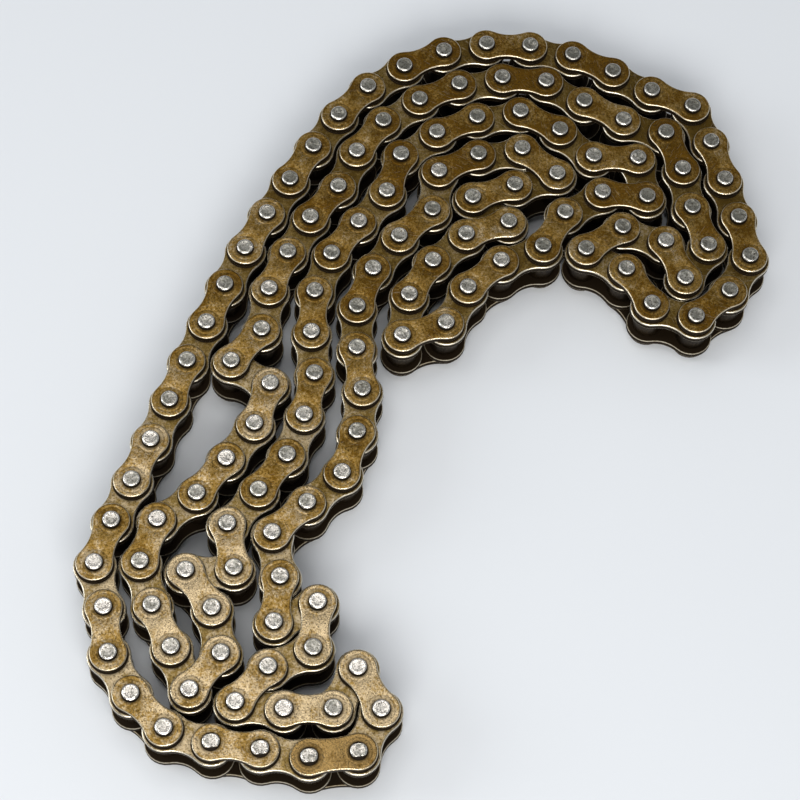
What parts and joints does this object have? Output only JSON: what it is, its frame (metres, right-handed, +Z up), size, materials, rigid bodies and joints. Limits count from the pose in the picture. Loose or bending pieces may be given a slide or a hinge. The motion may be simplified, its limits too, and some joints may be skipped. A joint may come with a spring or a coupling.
{
  "type": "motorcycle drive chain",
  "caption": "Endless bush roller chain for a motorcycle, laid on its side in close folds, with figure-eight plates, riveted pins and a connecting link.",
  "frame": {"origin": "middle of the folded chain's outline, on the surface that the pin ends stand on", "axes": "+Z up, along the pins; +X along the connecting link, link 1; +Y towards the far fold"},
  "size_m": [0.2004, 0.2196, 0.0187],
  "materials": {
    "outer_plate": "heat-tinted bronze brown, oiled",
    "inner_plate": "heat-tinted light tan, oiled",
    "connecting_plate": "heat-tinted amber brown, oiled",
    "pin": "ground steel, hammered end faces",
    "bush_and_roller": "dark oiled steel"
  },
  "bodies": {
    "root": {"laid_outer_plates_top": "outer_plate", "laid_outer_plates_bottom": "outer_plate", "laid_inner_plates_top": "inner_plate", "laid_inner_plates_bottom": "inner_plate", "laid_pins": "pin", "laid_bushes": "bush_and_roller", "laid_rollers": "bush_and_roller"},
    "link_1": {"connecting_cover_plate": "connecting_plate", "connecting_pin_plate": "connecting_plate", "connecting_pin": "pin", "open_pivot_pin_ends": "pin"},
    "link_3": {"link_3_outer_plates": "outer_plate", "link_3_pins": "pin"},
    "link_115": {"link_115_outer_plates": "outer_plate", "link_115_pins": "pin"},
    "link_117": {"link_117_outer_plates": "outer_plate", "link_117_pins": "pin"},
    "link_119": {"link_119_outer_plates": "outer_plate", "link_119_pins": "pin"},
    "link_121": {"link_121_outer_plates": "outer_plate", "link_121_pins": "pin"},
    "link_123": {"link_123_outer_plates": "outer_plate", "link_123_pins": "pin"},
    "link_125": {"link_125_outer_plates": "outer_plate", "link_125_pins": "pin"},
    "link_127": {"link_127_outer_plates": "outer_plate", "link_127_pins": "pin"},
    "link_2": {"link_2_inner_plates": "inner_plate", "link_2_bushes": "bush_and_roller"},
    "link_2_roller_1": {"link_2_roller_1": "bush_and_roller"},
    "link_2_roller_2": {"link_2_roller_2": "bush_and_roller"},
    "link_116": {"link_116_inner_plates": "inner_plate", "link_116_bushes": "bush_and_roller"},
    "link_116_roller_1": {"link_116_roller_1": "bush_and_roller"},
    "link_116_roller_2": {"link_116_roller_2": "bush_and_roller"},
    "link_118": {"link_118_inner_plates": "inner_plate", "link_118_bushes": "bush_and_roller"},
    "link_118_roller_1": {"link_118_roller_1": "bush_and_roller"},
    "link_118_roller_2": {"link_118_roller_2": "bush_and_roller"},
    "link_120": {"link_120_inner_plates": "inner_plate", "link_120_bushes": "bush_and_roller"},
    "link_120_roller_1": {"link_120_roller_1": "bush_and_roller"},
    "link_120_roller_2": {"link_120_roller_2": "bush_and_roller"},
    "link_122": {"link_122_inner_plates": "inner_plate", "link_122_bushes": "bush_and_roller"},
    "link_122_roller_1": {"link_122_roller_1": "bush_and_roller"},
    "link_122_roller_2": {"link_122_roller_2": "bush_and_roller"},
    "link_124": {"link_124_inner_plates": "inner_plate", "link_124_bushes": "bush_and_roller"},
    "link_124_roller_1": {"link_124_roller_1": "bush_and_roller"},
    "link_124_roller_2": {"link_124_roller_2": "bush_and_roller"},
    "link_126": {"link_126_inner_plates": "inner_plate", "link_126_bushes": "bush_and_roller"},
    "link_126_roller_1": {"link_126_roller_1": "bush_and_roller"},
    "link_126_roller_2": {"link_126_roller_2": "bush_and_roller"},
    "link_128": {"link_128_inner_plates": "inner_plate", "link_128_bushes": "bush_and_roller"},
    "link_128_roller_1": {"link_128_roller_1": "bush_and_roller"},
    "link_128_roller_2": {"link_128_roller_2": "bush_and_roller"}
  },
  "joints": [
    {"name": "pivot_115", "type": "hinge", "parent": "root", "child": "link_115", "pos_m": [-0.05263, 0.03347, 0.00935], "axis": [0, 0, -1], "range_deg": [0, 75]},
    {"name": "pivot_116", "type": "hinge", "parent": "link_115", "child": "link_116", "pos_m": [-0.05874, 0.02234, 0.00935], "axis": [0, 0, 1], "range_deg": [-75, 0]},
    {"name": "pivot_117", "type": "hinge", "parent": "link_116", "child": "link_117", "pos_m": [-0.06501, 0.01129, 0.00935], "axis": [0, 0, -1], "range_deg": [0, 45]},
    {"name": "pivot_118", "type": "hinge", "parent": "link_117", "child": "link_118", "pos_m": [-0.0708, -0.00001, 0.00935], "axis": [0, 0, 1], "range_deg": [-55, 0]},
    {"name": "pivot_119", "type": "hinge", "parent": "link_118", "child": "link_119", "pos_m": [-0.07676, -0.01122, 0.00935], "axis": [0, 0, -1], "range_deg": [0, 55]},
    {"name": "pivot_120", "type": "hinge", "parent": "link_119", "child": "link_120", "pos_m": [-0.08277, -0.02241, 0.00935], "axis": [0, 0, 1], "range_deg": [-50, 0]},
    {"name": "pivot_121", "type": "hinge", "parent": "link_120", "child": "link_121", "pos_m": [-0.08898, -0.0335, 0.00935], "axis": [0, 0, -1], "range_deg": [0, 70]},
    {"name": "pivot_122", "type": "hinge", "parent": "link_121", "child": "link_122", "pos_m": [-0.09433, -0.04501, 0.00935], "axis": [0, 0, 1], "range_deg": [-80, 0]},
    {"name": "pivot_123", "type": "hinge", "parent": "link_122", "child": "link_123", "pos_m": [-0.0928, -0.05762, 0.00935], "axis": [0, 0, -1], "range_deg": [0, 90]},
    {"name": "pivot_124", "type": "hinge", "parent": "link_123", "child": "link_124", "pos_m": [-0.09252, -0.07032, 0.00935], "axis": [0, 0, 1], "range_deg": [-120, 0]},
    {"name": "pivot_125", "type": "hinge", "parent": "link_124", "child": "link_125", "pos_m": [-0.08755, -0.08201, 0.00935], "axis": [0, 0, -1], "range_deg": [0, 115]},
    {"name": "pivot_126", "type": "hinge", "parent": "link_125", "child": "link_126", "pos_m": [-0.07986, -0.09211, 0.00935], "axis": [0, 0, 1], "range_deg": [-115, 0]},
    {"name": "pivot_127", "type": "hinge", "parent": "link_126", "child": "link_127", "pos_m": [-0.06824, -0.09725, 0.00935], "axis": [0, 0, -1], "range_deg": [0, 125]},
    {"name": "pivot_128", "type": "hinge", "parent": "link_127", "child": "link_128", "pos_m": [-0.05595, -0.10042, 0.00935], "axis": [0, 0, 1], "range_deg": [-115, 0]},
    {"name": "pivot_3", "type": "hinge", "parent": "root", "child": "link_3", "pos_m": [-0.02867, -0.08161, 0.00935], "axis": [0, 0, -1], "range_deg": [-150, 0]},
    {"name": "pivot_2", "type": "hinge", "parent": "link_3", "child": "link_2", "pos_m": [-0.02397, -0.09341, 0.00935], "axis": [0, 0, 1], "range_deg": [0, 170]},
    {"name": "pivot_1", "type": "hinge", "parent": "link_2", "child": "link_1", "pos_m": [-0.03105, -0.10396, 0.00935], "axis": [0, 0, -1], "range_deg": [-170, 0]},
    {"name": "link_2_roller_1_spin", "type": "hinge", "parent": "link_2", "child": "link_2_roller_1", "pos_m": [-0.03105, -0.10396, 0.00935], "axis": [0, 0, 1], "continuous": true},
    {"name": "link_2_roller_2_spin", "type": "hinge", "parent": "link_2", "child": "link_2_roller_2", "pos_m": [-0.02397, -0.09341, 0.00935], "axis": [0, 0, 1], "continuous": true},
    {"name": "link_116_roller_1_spin", "type": "hinge", "parent": "link_116", "child": "link_116_roller_1", "pos_m": [-0.05874, 0.02234, 0.00935], "axis": [0, 0, 1], "continuous": true},
    {"name": "link_116_roller_2_spin", "type": "hinge", "parent": "link_116", "child": "link_116_roller_2", "pos_m": [-0.06501, 0.01129, 0.00935], "axis": [0, 0, 1], "continuous": true},
    {"name": "link_118_roller_1_spin", "type": "hinge", "parent": "link_118", "child": "link_118_roller_1", "pos_m": [-0.0708, -0.00001, 0.00935], "axis": [0, 0, 1], "continuous": true},
    {"name": "link_118_roller_2_spin", "type": "hinge", "parent": "link_118", "child": "link_118_roller_2", "pos_m": [-0.07676, -0.01122, 0.00935], "axis": [0, 0, 1], "continuous": true},
    {"name": "link_120_roller_1_spin", "type": "hinge", "parent": "link_120", "child": "link_120_roller_1", "pos_m": [-0.08277, -0.02241, 0.00935], "axis": [0, 0, 1], "continuous": true},
    {"name": "link_120_roller_2_spin", "type": "hinge", "parent": "link_120", "child": "link_120_roller_2", "pos_m": [-0.08898, -0.0335, 0.00935], "axis": [0, 0, 1], "continuous": true},
    {"name": "link_122_roller_1_spin", "type": "hinge", "parent": "link_122", "child": "link_122_roller_1", "pos_m": [-0.09433, -0.04501, 0.00935], "axis": [0, 0, 1], "continuous": true},
    {"name": "link_122_roller_2_spin", "type": "hinge", "parent": "link_122", "child": "link_122_roller_2", "pos_m": [-0.0928, -0.05762, 0.00935], "axis": [0, 0, 1], "continuous": true},
    {"name": "link_124_roller_1_spin", "type": "hinge", "parent": "link_124", "child": "link_124_roller_1", "pos_m": [-0.09252, -0.07032, 0.00935], "axis": [0, 0, 1], "continuous": true},
    {"name": "link_124_roller_2_spin", "type": "hinge", "parent": "link_124", "child": "link_124_roller_2", "pos_m": [-0.08755, -0.08201, 0.00935], "axis": [0, 0, 1], "continuous": true},
    {"name": "link_126_roller_1_spin", "type": "hinge", "parent": "link_126", "child": "link_126_roller_1", "pos_m": [-0.07986, -0.09211, 0.00935], "axis": [0, 0, 1], "continuous": true},
    {"name": "link_126_roller_2_spin", "type": "hinge", "parent": "link_126", "child": "link_126_roller_2", "pos_m": [-0.06824, -0.09725, 0.00935], "axis": [0, 0, 1], "continuous": true},
    {"name": "link_128_roller_1_spin", "type": "hinge", "parent": "link_128", "child": "link_128_roller_1", "pos_m": [-0.05595, -0.10042, 0.00935], "axis": [0, 0, 1], "continuous": true},
    {"name": "link_128_roller_2_spin", "type": "hinge", "parent": "link_128", "child": "link_128_roller_2", "pos_m": [-0.04375, -0.10396, 0.00935], "axis": [0, 0, 1], "continuous": true}
  ]
}
